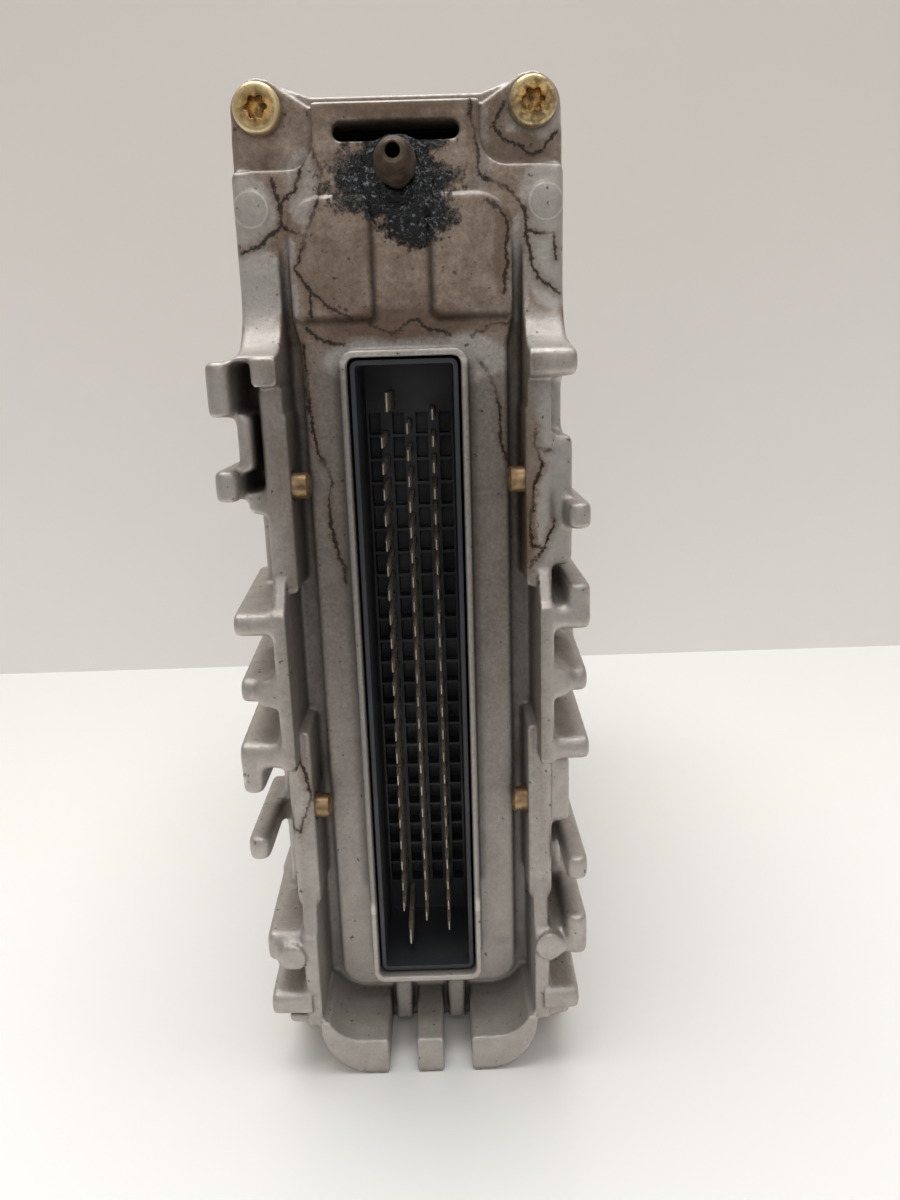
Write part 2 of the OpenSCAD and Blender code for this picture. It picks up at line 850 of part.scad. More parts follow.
// Dowel pins that the plug's slide lock runs on
module guide_pins() color("#a8854d") {
    length = boss_out - guide_wall - guide_sink - guide_in;
    for (side = [0, 1], z = guide_z)
        mirror([side, 0, 0])
            translate([guide_in, front_y + guide_axis_t, z])
                rotate([0, 90, 0])
                    rotate_extrude()
                        polygon([[0, 0], [guide_d / 2 - guide_edge, 0], [guide_d / 2, guide_edge],
                            [guide_d / 2, length], [0, length]]);
}

// Hose nipple with an olive-shaped barb in front and a plain tail inside
module pressure_nipple() color("#7d6142") {
    seat_l = nipple_l + nipple_seat_t - plate_set;
    back_l = seat_l + nipple_flange_t;
    difference() {
        translate([0, front_y + plate_set - nipple_l, nipple_z])
            rotate([-90, 0, 0])
                rotate_extrude()
                    polygon(concat([[0, 0], [nose_d / 2 - nose_edge, 0], [nose_d / 2, nose_edge]],
                        [for (i = [1:4]) [nose_d / 2 + (nipple_d - nose_d) / 2 * sin(i * 22.5), olive_l * i / 4]],
                        [[nipple_d / 2, olive_l + olive_flat], [shank_r, olive_l + olive_flat + olive_back],
                         [shank_r, seat_l], [nipple_flange_r, seat_l], [nipple_flange_r, back_l], [tail_r, back_l],
                         [tail_r, back_l + tail_l], [0, back_l + tail_l]]));
        y_rod(0, nipple_z, nipple_bore / 2, plate_set - nipple_l - lap, nipple_back_t + tail_l + lap);
    }
}

module sensor_hose() color("#1b1b1b") {
    difference() {
        y_rod(0, nipple_z, tail_r + fit + hose_wall, hose_start_t, hose_end_t);
        y_rod(0, nipple_z, tail_r + fit, hose_start_t - lap, hose_end_t + lap);
    }
}

// Sensor on the main board, with its port in line with the hose
module pressure_sensor() color("#2a2b2e") {
    slab(hose_end_t, hose_end_t + sensor_l)
        round_rect([-sensor_half, sensor_top_z - sensor_h], [board_x, sensor_top_z], sensor_r);
    y_rod(0, nipple_z, tail_r, hose_end_t - tail_l, hose_end_t + lap);
}

// A board on edge in its guide rails
module board(x) {
    slab(board_front_t, board_end_t)
        translate([x, board_low_z])
            square([board_t, board_top_z - board_low_z]);
}

module main_board() color("#2f5a3a") board(board_x);
module power_board() color("#2f5a3a") board(-board_x - board_t);

// Flexible foil that joins the two boards, with a foot bonded to each
module board_link() color("#8a5a2b") {
    low = board_low_z + link_rise;
    foot = low + link_foot;
    slab(along(link_at[0]), along(link_at[1]))
        polygon([[-board_x, low], [board_x, low], [board_x, foot], [board_x - link_t, foot],
            [board_x - link_t, low + link_t], [-board_x + link_t, low + link_t], [-board_x + link_t, foot],
            [-board_x, foot]]);
}

// A chip that lies flat on the inner face of a board, on side 1 or -1
module chip(side, t, z, size, rise) {
    slab(along(t), along(t) + size[0])
        translate([side > 0 ? board_x - rise : -board_x, at(z)])
            square([rise, size[1]]);
}

module microcontroller() color("#1c1d20")
    chip(1, controller_at[0], controller_at[1], [controller_size, controller_size], controller_h);

module program_memories() color("#26221e") {
    for (z = memory_z)
        chip(1, memory_t, z, memory_size, memory_h);
}

module driver_chips() color("#1c1d20") {
    for (t = driver_t, z = driver_z)
        chip(-1, t, z, driver_size, chip_h);
}

module power_transistors() color("#232427") {
    end_t = floor_t + cool_ledge_l - transistor_set;
    for (i = [0:transistor_count - 1])
        slab(end_t - transistor_l, end_t)
            translate([-cool_ledge_in, cool_z[0] + clamp_room + transistor_gap / 2 + transistor_pitch * i])
                square([transistor_t, transistor_pitch - transistor_gap]);
}

// A round rod along X at the depth of the clamp's screws
module x_rod(x, z, r, l) {
    translate([x, front_y + clamp_screw_t, z])
        rotate([0, 90, 0])
            cylinder(h = l, r = r);
}

// Strip that presses the transistors against the cooling ledge, held by a screw at each end
module transistor_clamp() color("#8d8f92") {
    difference() {
        slab(clamp_screw_t - clamp_w / 2, clamp_screw_t + clamp_w / 2)
            translate([clamp_in, clamp_screw_z[0] - clamp_over])
                square([clamp_t, clamp_screw_z[1] - clamp_screw_z[0] + 2 * clamp_over]);
        for (z = clamp_screw_z)
            x_rod(clamp_in - lap, z, clamp_screw_r + 2 * fit, clamp_t + 2 * lap);
    }
}

module clamp_screws() color("#a8a9ab") {
    for (z = clamp_screw_z) {
        x_rod(-cool_ledge_in - clamp_screw_bite, z, clamp_screw_r,
            clamp_screw_bite + transistor_t + clamp_t + lap);
        x_rod(clamp_in + clamp_t, z, clamp_screw_head_r, clamp_screw_head_l);
    }
}

// A round part that stands on the main board and points to the middle
module board_drum(t, z, r, l) {
    translate([board_x, front_y + along(t), at(z)])
        rotate([0, -90, 0])
            cylinder(h = l, r = r);
}

module storage_capacitors() color("#3b4a63") {
    for (z = capacitor_z)
        board_drum(capacitor_t, z, capacitor_r, capacitor_l);
}

module suppressor_coil() color("#4a3a30") {
    difference() {
        board_drum(coil_at[0], coil_at[1], coil_r, coil_h);
        translate([lap, 0, 0])
            board_drum(coil_at[0], coil_at[1], coil_hole_r, coil_h + 2 * lap);
    }
}

module clock_crystal() color("#b8babd") {
    low = at(crystal_z);
    from_t = along(controller_at[0]) + controller_size + crystal_gap;
    slab(from_t, from_t + crystal_size[0])
        round_rect([board_x - crystal_h, low], [board_x, low + crystal_size[1]], crystal_r);
}

front_housing();
rear_housing();
housing_seal();
housing_screws();
connector_body();
connector_seal();
blades_right_row();
blades_middle_row();
blades_left_row();
power_blades();
guide_pins();
pressure_nipple();
sensor_hose();
pressure_sensor();
main_board();
power_board();
board_link();
microcontroller();
program_memories();
driver_chips();
power_transistors();
transistor_clamp();
clamp_screws();
storage_capacitors();
suppressor_coil();
clock_crystal();
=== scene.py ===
"""Looks of an engine control unit: stained die-cast housing, plug bay, fins, screws and nipple."""

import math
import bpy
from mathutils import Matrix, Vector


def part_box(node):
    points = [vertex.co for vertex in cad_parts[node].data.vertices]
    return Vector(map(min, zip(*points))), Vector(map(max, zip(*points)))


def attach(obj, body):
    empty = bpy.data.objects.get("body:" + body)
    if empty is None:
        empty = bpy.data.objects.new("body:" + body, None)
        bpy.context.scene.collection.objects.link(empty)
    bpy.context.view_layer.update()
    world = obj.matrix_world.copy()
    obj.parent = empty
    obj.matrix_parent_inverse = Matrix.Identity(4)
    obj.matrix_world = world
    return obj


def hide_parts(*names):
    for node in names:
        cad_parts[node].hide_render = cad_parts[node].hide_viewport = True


bl_info = {
    "name": "Engine control unit looks",
    "version": (1, 0, 0),
    "blender": (4, 5, 0),
    "location": "View3D > Sidebar > Control unit",
    "description": "Dresses the packed engine control unit and sets its stage",
    "category": "Object",
}

import bpy
import numpy as np
from mathutils import Matrix, Vector

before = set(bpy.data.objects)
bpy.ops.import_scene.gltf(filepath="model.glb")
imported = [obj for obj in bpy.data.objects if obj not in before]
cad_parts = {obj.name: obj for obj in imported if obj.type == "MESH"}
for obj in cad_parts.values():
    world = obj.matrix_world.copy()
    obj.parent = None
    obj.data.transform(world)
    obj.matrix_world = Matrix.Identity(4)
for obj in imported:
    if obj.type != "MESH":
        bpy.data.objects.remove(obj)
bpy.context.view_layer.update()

MM = 0.001
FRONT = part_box("front_housing")
SKIRT_Y = FRONT[0][1]
PLATE_Y = SKIRT_Y + 10 * MM
FIN_X = 20.8 * MM           # half width beyond which the fins are rounded more
FIN_BLEND = 1.5 * MM
EDGE_RADIUS = 0.2 * MM      # of the light on the edges of screws, pins and plastic

# Where the looks of the front casting change, in millimetres
BAY_HALF = (18, 21)         # X from the dull bay to the clean fins, on both sides
PALE_FOOT = (85, 25)       # Z from the dull plateau down to the paler foot
FILM_START = (117, 124)     # Z where the browned film begins
FILM_END = (3.5, 6)         # depth behind the plate's face where it ends

# Sizes of the patterns on the castings, in millimetres; the grain is drawn coarser than the real one, so
# that it shows
GRAIN = 0.7
MOTTLE = 3
RAGGED = 5                  # waves in the outlines of patches and cracks
RAGGED_REACH = 3.4          # how far those move an outline
CRACK_FADE = 6              # stretches over which a crack grows faint
CRACK_FRAY = 0.7            # how far the grain moves a crack's edge
PITS = 1.1
FRAY = 2                    # fringe of the grease
LUMPS = 1.4                 # lumps of the grease
RELIEF = 0.11               # height of the grain

# Paler patches, where the lacquer is thin or gone: X and Z of the middle, half width, half height, share
PATCHES = (
    (19.5, 153, 5, 4.5, 0.7),       # round the right screw
    (12.5, 148.5, 1.3, 6, 0.6),     # edge of the right pocket
    (21.5, 140, 4.2, 7, 0.85),      # right flange
    (22.5, 131, 4, 5, 0.9),         # right flange, lower down
    (17.3, 132, 1.6, 8, 0.75),      # between that and the right pad
    (-21.5, 140.5, 4, 5, 0.8),      # left flange
    (-21.2, 130, 4, 6.5, 0.95),     # left flange, lower down
    (-13.8, 144, 2.4, 5.5, 0.7),    # edge of the left pocket
    (-16.2, 131.5, 1.2, 6, 0.8),    # left of the left pad
    # The next patch is bare metal together with a painted highlight on the rim's fillet
    (2, 119.5, 14, 4.6, 0.9),       # under the pads
    (19.5, 96, 1.5, 5, 0.6),        # upper right boss plate
    (-19.7, 52, 1.8, 7, 0.7),       # lower left boss plate
)

# Deep brown stains, in the same form
STAINS = (
    (0, 154.5, 11, 1.8, 1.0),       # strip above the slot
    (11, 152, 1.2, 4, 0.8),         # right of the slot
    (17, 148.8, 5, 2, 0.9),         # under the right screw
    (14.5, 152, 1.5, 4, 0.8),       # left of that screw
    (-10, 131, 5, 5, 0.5),          # left pad
    (14.8, 135, 1.2, 6, 0.8),       # right edge of the right pad
    (0, 124.6, 13, 2.4, 1.0),       # under the pads
    (-20.7, 105, 2.4, 9, 0.4),      # upper left boss plate
    (18.3, 106, 1.4, 8, 0.4),       # upper right boss plate
    (18, 94, 1, 6, 0.9),            # lower end of that plate
)

# Cracks in the lacquer: the X and Z of the points that each one runs through
CRACKS = (
    ((-12, 149), (-10.8, 146.5), (-11.2, 143), (-13.6, 137), (-15.4, 132.5), (-13.5, 129.5), (-7.5, 125.5)),
    ((-13.5, 129.5), (-13.8, 126)),
    ((-13.5, 147), (-15, 144), (-17, 142), (-17.3, 138.5), (-20, 136.5), (-23, 135)),
    ((-17.3, 138.5), (-13.6, 137.2)),
    ((-18, 145), (-17.2, 141)),
    ((-14.5, 124.3), (-12, 122.5), (-9, 122)),
    ((-5, 124.7), (-2, 123.3), (2, 125.2), (4, 123.8), (7, 122.8)),
    ((10.5, 122.5), (13, 124), (16, 124.5)),
    ((10.3, 154.5), (11.2, 149), (12, 145), (16, 142.8), (18, 140.3), (19, 134), (20, 130.3), (23, 128.5)),
    ((15.5, 155), (14, 152.5), (15, 150), (19.5, 147.6), (21.5, 149), (23.5, 151)),
    ((13, 141.5), (15.4, 139), (15.6, 135), (15.2, 128.5)),
    ((18.6, 137), (22.4, 136.8), (22.6, 133)),
    ((-15, 122), (-15, 114), (-13.8, 106), (-11.8, 101), (-12.8, 98), (-12.2, 92), (-10.8, 85.5)),
    ((11.5, 118.5), (13.8, 115), (14.2, 110), (14.8, 104)),
    ((19.2, 109), (19, 106.5), (20.2, 104), (18.6, 100.3), (18, 94), (18.3, 91.5), (20.2, 91), (18, 88)),
    ((19, 106.5), (21.5, 105.7)),
    ((20.2, 91), (22, 95)),
    ((-19.3, 57.5), (-18.2, 53), (-17.9, 50), (-20.2, 44.8), (-22, 46)),
)

# Grooves with dirt and painted shade along the steps round the pads and the plug's rim: half width and the
# X and Z of the points that each one runs through
SHADED_GROOVES = (
    (0.9, ((-4.2, 140), (-4.2, 125.4), (-14, 125.4))),      # right and lower edge of the left pad
    (0.9, ((4.4, 136), (4.4, 126.5), (5.6, 125.4), (15, 125.4))),   # left and lower edge of the right pad
    (2.0, ((-9.4, 32), (-9.4, 118))),                       # left of the plug's rim
    (1.5, ((9.4, 32), (9.4, 118))),                         # right of the plug's rim
)

# Middle line of the bead round the plug
RIM = ((-8.8, 29.5), (-8.8, 119), (8.8, 119), (8.8, 29.5), (-8.8, 29.5))

# Middle and radius of the ring round an ejector mark, which is the same on both sides
EJECTOR = (21.4, 141, 2.45)

# Grease round the nipple: X and Z of the middle, half width, half height
SMEARS = ((-1, 144.5, 8, 5), (2.5, 139.5, 5, 3.5), (0.5, 149, 5.5, 1.8))


def linear(hex_colour):
    """An sRGB hex colour as linear RGBA."""
    channels = [int(hex_colour[i:i + 2], 16) / 255 for i in (1, 3, 5)]
    return [c / 12.92 if c <= 0.04045 else ((c + 0.055) / 1.055) ** 2.4 for c in channels] + [1.0]


def per_mm(size):
    """Texture scale on metre coordinates that repeats about every size millimetres."""
    return 1 / (size * MM)


def put(tree, kind, inputs=(), **settings):
    """Adds a node: settings are its properties, inputs are values, sockets or nodes, by name or index."""
    node = tree.nodes.new(kind)
    for key, value in settings.items():
        setattr(node, key, value)
    for key, value in dict(inputs).items():
        if isinstance(value, bpy.types.Node):
            value = next(socket for socket in value.outputs if socket.enabled)
        if isinstance(value, bpy.types.NodeSocket):
            tree.links.new(value, node.inputs[key])
        else:
            node.inputs[key].default_value = value
    return node


def new_material(name):
    """An empty node material: its tree and its Principled shader."""
    material = bpy.data.materials.new(name)
    material.use_nodes = True
    tree = material.node_tree
    tree.nodes.clear()
    shader = put(tree, "ShaderNodeBsdfPrincipled")
    put(tree, "ShaderNodeOutputMaterial", {"Surface": shader.outputs[0]})
    return material, tree, shader


def dress(piece, material):
    """Puts one material on the whole of a piece."""
    piece.data.materials.clear()
    piece.data.materials.append(material)
    piece.data.polygons.foreach_set("material_index", np.zeros(len(piece.data.polygons), dtype=np.int32))


def mottled(name, light, dark, patch_mm, metallic, roughness, grain_mm, grain_height):
    """A moulded, plated or rolled surface: two tones in soft patches, with a fine grain under them."""
    material, tree, shader = new_material(name)
    place = put(tree, "ShaderNodeTexCoord").outputs["Object"]
    patches = put(tree, "ShaderNodeTexNoise", {"Vector": place, "Scale": per_mm(patch_mm), "Detail": 5.0})
    share = put(tree, "ShaderNodeMapRange", {"Value": patches, 1: 0.35, 2: 0.65})
    tone = put(tree, "ShaderNodeMix", {0: share, 6: linear(light), 7: linear(dark)}, data_type="RGBA")
    gloss = put(tree, "ShaderNodeMapRange",
                {"Value": patches, 1: 0.3, 2: 0.7, 3: roughness - 0.08, 4: roughness + 0.12})
    grain = put(tree, "ShaderNodeTexNoise", {"Vector": place, "Scale": per_mm(grain_mm), "Detail": 3.0})
    edges = put(tree, "ShaderNodeBevel", {"Radius": EDGE_RADIUS}, samples=4)
    relief = put(tree, "ShaderNodeBump",
                 {"Height": grain, "Distance": grain_height * MM, "Strength": 1.0, "Normal": edges})
    tree.links.new(tone.outputs[2], shader.inputs["Base Color"])
    tree.links.new(gloss.outputs[0], shader.inputs["Roughness"])
    tree.links.new(relief.outputs[0], shader.inputs["Normal"])
    shader.inputs["Metallic"].default_value = metallic
    return material


def ellipse(tree, place, x, z, half_w, half_h):
    """How far a place is from the middle of an ellipse in X and Z: 1 on its outline."""
    offset = put(tree, "ShaderNodeVectorMath",
                 {0: place, 1: (1 / (half_w * MM), 0, 1 / (half_h * MM)),
                  2: (-x / half_w, 0, -z / half_h)},
                 operation="MULTIPLY_ADD")
    return put(tree, "ShaderNodeVectorMath", {0: offset}, operation="LENGTH")


def patch_share(tree, place, rows, fade):
    """The strongest of some elliptic patches, each of which fades out over a share of its size."""
    most = 0.0
    for x, z, half_w, half_h, share in rows:
        reach = ellipse(tree, place, x, z, half_w, half_h)
        patch = put(tree, "ShaderNodeMapRange",
                    {"Value": reach, 1: 1 - fade, 2: 1 + fade, 3: share, 4: 0.0})
        most = put(tree, "ShaderNodeMath", {0: patch, 1: most}, operation="MAXIMUM")
    return most


def path_distance(tree, place, points):
    """Distance in X and Z to a path: the least of the distances to the lines between its points."""
    nearest = 1.0
    for (x, z), (next_x, next_z) in zip(points, points[1:]):
        run = Vector((next_x - x, 0, next_z - z)) * MM
        offset = put(tree, "ShaderNodeVectorMath", {0: place, 1: (1, 0, 1), 2: (-x * MM, 0, -z * MM)},
                     operation="MULTIPLY_ADD")
        along = put(tree, "ShaderNodeVectorMath", {0: offset, 1: run / run.length_squared},
                    operation="DOT_PRODUCT")
        along = put(tree, "ShaderNodeClamp", {0: along})
        foot = put(tree, "ShaderNodeVectorMath", {0: run, "Scale": along}, operation="SCALE")
        off = put(tree, "ShaderNodeVectorMath", {0: offset, 1: foot}, operation="DISTANCE")
        nearest = put(tree, "ShaderNodeMath", {0: off, 1: nearest}, operation="MINIMUM")
    return nearest


def crack_distance(tree, place):
    """Distance in X and Z to the nearest crack."""
    nearest = 1.0
    for points in CRACKS:
        off = path_distance(tree, place, points)
        nearest = put(tree, "ShaderNodeMath", {0: off, 1: nearest}, operation="MINIMUM")
    return nearest


def groove_shade_share(tree, place):
    """Share of dirt and painted shade in the grooves, most in their middle."""
    most = 0.0
    for half_width, points in SHADED_GROOVES:
        off = path_distance(tree, place, points)
        dirt = put(tree, "ShaderNodeMapRange",
                   {"Value": off, 1: 0.1 * MM, 2: half_width * MM, 3: 0.7, 4: 0.0})
        most = put(tree, "ShaderNodeMath", {0: dirt, 1: most}, operation="MAXIMUM")
    return most


def grease_smear(tree, place, fray):
    """Share of grease round the nipple: the nearest of a few ellipses in X and Z, frayed by noise."""
    nearest = 10.0
    for x, z, half_w, half_h in SMEARS:
        reach = ellipse(tree, place, x, z, half_w, half_h)
        nearest = put(tree, "ShaderNodeMath", {0: reach, 1: nearest}, operation="MINIMUM")
    ragged = put(tree, "ShaderNodeMath", {0: fray, 1: 2.6, 2: nearest}, operation="MULTIPLY_ADD")
    return put(tree, "ShaderNodeMapRange", {"Value": ragged, 1: 2.2, 2: 2.5, 3: 1.0, 4: 0.0})


def cast_aluminium(looks, name, lacquered):
    """Die-cast aluminium under a clear lacquer that has browned and flaked; grease lies round the nipple.

    The eye sees grey metal with a fine grain, a brown film on the front plate that is cracked along
    ragged dark lines, corners darkened by dirt and painted shade, and edges made bright by wear and a
    painted highlight. The rear casting isn't lacquered, and has only the metal, the dirt with painted
    shade, and the wear with painted highlight."""
    material, tree, shader = new_material(name)
    place = put(tree, "ShaderNodeTexCoord").outputs["Object"]
    axes = put(tree, "ShaderNodeSeparateXYZ", {0: place})
    x, y, z = axes.outputs
    surface = put(tree, "ShaderNodeNewGeometry")

    grain = put(tree, "ShaderNodeTexNoise",
                {"Vector": place, "Scale": per_mm(GRAIN), "Detail": 4.0, "Roughness": 0.7})
    mottle = put(tree, "ShaderNodeTexNoise",
                 {"Vector": place, "Scale": per_mm(MOTTLE), "Detail": 7.0, "Roughness": 0.75})
    tint = put(tree, "ShaderNodeMapRange", {"Value": mottle, 1: 0.3, 2: 0.7})

    # The metal is cleaner on the fins, paler towards the foot, and dull on the plateau round the plug
    side = put(tree, "ShaderNodeMath", {0: x}, operation="ABSOLUTE")
    fins = put(tree, "ShaderNodeMapRange", {"Value": side, 1: BAY_HALF[0] * MM, 2: BAY_HALF[1] * MM})
    foot = put(tree, "ShaderNodeMapRange", {"Value": z, 1: PALE_FOOT[0] * MM, 2: PALE_FOOT[1] * MM})
    clean = put(tree, "ShaderNodeMath", {0: fins, 1: foot}, operation="MAXIMUM") if lacquered else 1.0
    bright = put(tree, "ShaderNodeMix", {0: tint, 6: linear(looks.metal_light), 7: linear(looks.metal)},
                 data_type="RGBA")
    dull = put(tree, "ShaderNodeMix", {0: tint, 6: linear(looks.dull), 7: linear(looks.dull_dark)},
               data_type="RGBA")
    tone = put(tree, "ShaderNodeMix", {0: clean, 6: dull, 7: bright}, data_type="RGBA")
    metal = put(tree, "ShaderNodeMapRange", {"Value": fins, 3: looks.metallic_bay, 4: looks.metallic})
    height = grain
    grease = 0.0

    if lacquered:
        shake = put(tree, "ShaderNodeTexNoise",
                    {"Vector": place, "Scale": per_mm(RAGGED), "Detail": 8.0, "Roughness": 0.78})
        shake = put(tree, "ShaderNodeVectorMath", {0: shake.outputs["Color"], 1: (0.5, 0.5, 0.5)},
                    operation="SUBTRACT")
        moved = put(tree, "ShaderNodeVectorMath", {0: shake, 1: [RAGGED_REACH * MM] * 3, 2: place},
                    operation="MULTIPLY_ADD")

        # Brown lacquer on the upper plate, thin in patches; faces turned up are painted as bright bare
        # metal, which is wear together with a painted highlight from the lamp above
        at_front = put(tree, "ShaderNodeMapRange",
                       {"Value": y, 1: PLATE_Y + FILM_END[0] * MM, 2: PLATE_Y + FILM_END[1] * MM,
                        3: 1.0, 4: 0.0})
        upper = put(tree, "ShaderNodeMapRange",
                    {"Value": z, 1: FILM_START[0] * MM, 2: FILM_START[1] * MM})
        upper = put(tree, "ShaderNodeMath", {0: upper, 1: at_front}, operation="MULTIPLY")
        upward_worn_and_lit = put(tree, "ShaderNodeSeparateXYZ", {0: surface.outputs["Normal"]}).outputs[2]
        upward_worn_and_lit = put(tree, "ShaderNodeMapRange", {"Value": upward_worn_and_lit, 1: 0.3, 2: 0.6})
        bare = put(tree, "ShaderNodeMath", {0: patch_share(tree, moved, PATCHES, 0.08), 1: upward_worn_and_lit},
                   operation="MAXIMUM")
        film = put(tree, "ShaderNodeMath", {0: upper, 1: bare}, operation="SUBTRACT", use_clamp=True)
        brown = put(tree, "ShaderNodeMix", {0: tint, 6: linear(looks.stain), 7: linear(looks.stain_dark)},
                    data_type="RGBA")
        tone = put(tree, "ShaderNodeMix", {0: bare, 6: tone, 7: bright}, data_type="RGBA")
        tone = put(tree, "ShaderNodeMix", {0: film, 6: tone, 7: brown}, data_type="RGBA")

        # Deeper stains, kept off faces turned up so that those stay painted bright as though lit from above
        level = put(tree, "ShaderNodeMath", {0: at_front, 1: upward_worn_and_lit}, operation="SUBTRACT")
        level = put(tree, "ShaderNodeClamp", {0: level})
        deep = put(tree, "ShaderNodeMath", {0: patch_share(tree, moved, STAINS, 0.25), 1: level},
                   operation="MULTIPLY")
        tone = put(tree, "ShaderNodeMix", {0: deep, 6: tone, 7: linear(looks.stain_dark)},
                   data_type="RGBA")

        # Dark crack lines, which fade here and there, with a stain beside them
        margin = crack_distance(tree, moved)
        faded = put(tree, "ShaderNodeTexNoise",
                    {"Vector": place, "Scale": per_mm(CRACK_FADE), "Detail": 3.0})
        strong = put(tree, "ShaderNodeMapRange", {"Value": faded, 1: 0.34, 2: 0.5, 3: 0.4, 4: 1.0})
        strong = put(tree, "ShaderNodeMath", {0: strong, 1: at_front}, operation="MULTIPLY")
        beside = put(tree, "ShaderNodeMapRange",
                     {"Value": margin, 1: 0.1 * MM, 2: 1.3 * MM, 3: 0.7, 4: 0.0})
        beside = put(tree, "ShaderNodeMath", {0: beside, 1: strong}, operation="MULTIPLY")
        tone = put(tree, "ShaderNodeMix", {0: beside, 6: tone, 7: linear(looks.stain_dark)},
                   data_type="RGBA")
        ragged = put(tree, "ShaderNodeMath", {0: grain, 1: CRACK_FRAY * MM, 2: margin},
                     operation="MULTIPLY_ADD")
        line = put(tree, "ShaderNodeMapRange",
                   {"Value": ragged, 1: 0.48 * MM, 2: 0.7 * MM, 3: 0.95, 4: 0.0})
        line = put(tree, "ShaderNodeMath", {0: line, 1: strong}, operation="MULTIPLY")
        tone = put(tree, "ShaderNodeMix", {0: line, 6: tone, 7: linear(looks.crack)}, data_type="RGBA")
        metal = put(tree, "ShaderNodeMix", {0: upper, 2: metal, 3: looks.metallic_plate})

        # The plug's rim is worn bright and carries a painted highlight, the grooves get painted shade with
        # dirt, and the ejector marks have raised rings painted bright as wear and highlight
        rim_tone_and_highlight = path_distance(tree, place, RIM)
        rim_tone_and_highlight = put(tree, "ShaderNodeMapRange", {"Value": rim_tone_and_highlight, 1: 0.4 * MM, 2: 0.7 * MM, 3: 0.55, 4: 0.0})
        tone = put(tree, "ShaderNodeMix", {0: rim_tone_and_highlight, 6: tone, 7: linear(looks.worn_edge_and_highlight)}, data_type="RGBA")
        # The grooves take the crack tone as painted shade together with dirt
        groove_shade = put(tree, "ShaderNodeMath", {0: groove_shade_share(tree, place), 1: at_front},
                     operation="MULTIPLY")
        tone = put(tree, "ShaderNodeMix", {0: groove_shade, 6: tone, 7: linear(looks.crack)}, data_type="RGBA")
        folded = put(tree, "ShaderNodeVectorMath", {0: place}, operation="ABSOLUTE")
        middle_x, middle_z, radius = EJECTOR
        ring = ellipse(tree, folded, middle_x, middle_z, radius, radius)
        ring = put(tree, "ShaderNodeMath", {0: ring, 1: 1.0, 2: 0.06}, operation="COMPARE")
        ring = put(tree, "ShaderNodeMath", {0: ring, 1: upper}, operation="MULTIPLY")
        height = put(tree, "ShaderNodeMath", {0: ring, 1: 2.0, 2: height}, operation="MULTIPLY_ADD")
        ring_wear_and_highlight = put(tree, "ShaderNodeMath", {0: ring, 1: 0.35}, operation="MULTIPLY")
        tone = put(tree, "ShaderNodeMix", {0: ring_wear_and_highlight, 6: tone, 7: linear(looks.worn_edge_and_highlight)},
                   data_type="RGBA")

        # Small pits filled with dirt
        pits = put(tree, "ShaderNodeTexNoise", {"Vector": place, "Scale": per_mm(PITS), "Detail": 2.0})
        pits = put(tree, "ShaderNodeMapRange", {"Value": pits, 1: 0.68, 2: 0.74, 4: 0.7})
        pits = put(tree, "ShaderNodeMath", {0: pits, 1: at_front}, operation="MULTIPLY")
        tone = put(tree, "ShaderNodeMix", {0: pits, 6: tone, 7: linear(looks.crack)}, data_type="RGBA")

        fray = put(tree, "ShaderNodeTexNoise",
                   {"Vector": place, "Scale": per_mm(FRAY), "Detail": 7.0, "Roughness": 0.8})
        smear = grease_smear(tree, place, fray)
        grease = put(tree, "ShaderNodeMath", {0: smear, 1: at_front}, operation="MULTIPLY")

    # Light and dark specks of the grain; corners and creases darkened by dirt and painted shade; edges made
    # bright by wear and a painted highlight
    grainy = put(tree, "ShaderNodeMapRange", {"Value": clean, 3: 0.7, 4: 0.2})
    specks = put(tree, "ShaderNodeMapRange", {"Value": grain, 1: 0.3, 2: 0.7, 3: 0.7, 4: 1.3})
    tone = put(tree, "ShaderNodeMix", {0: grainy, 6: tone, 7: specks}, data_type="RGBA",
               blend_type="MULTIPLY")
    # Occlusion over 5 mm pulls corners and recesses towards the dirt tone: dirt together with painted shade
    sky = put(tree, "ShaderNodeAmbientOcclusion", {"Distance": 5 * MM}, samples=8).outputs["AO"]
    dirt = put(tree, "ShaderNodeMapRange", {"Value": sky, 1: 0.25, 2: 0.8, 3: 0.18, 4: 0.0})
    tone = put(tree, "ShaderNodeMix", {0: dirt, 6: tone, 7: linear(looks.dirt)}, data_type="RGBA")
    # Occlusion over 1.6 mm draws dark lines in creases: painted shade together with grime
    crease = put(tree, "ShaderNodeAmbientOcclusion", {"Distance": 1.6 * MM}, samples=8).outputs["AO"]
    crease = put(tree, "ShaderNodeMapRange", {"Value": crease, 1: 0.5, 2: 0.92, 3: 0.5, 4: 0.0})
    tone = put(tree, "ShaderNodeMix", {0: crease, 6: tone, 7: linear(looks.grime)}, data_type="RGBA")
    # Edges that stand out are painted bright: wear together with a painted highlight
    ridge = put(tree, "ShaderNodeMapRange", {"Value": surface.outputs["Pointiness"], 1: 0.53, 2: 0.61})
    worn = put(tree, "ShaderNodeMath", {0: ridge, 1: tint}, operation="MULTIPLY")
    tone = put(tree, "ShaderNodeMix", {0: worn, 6: tone, 7: linear(looks.worn_edge_and_highlight)}, data_type="RGBA")
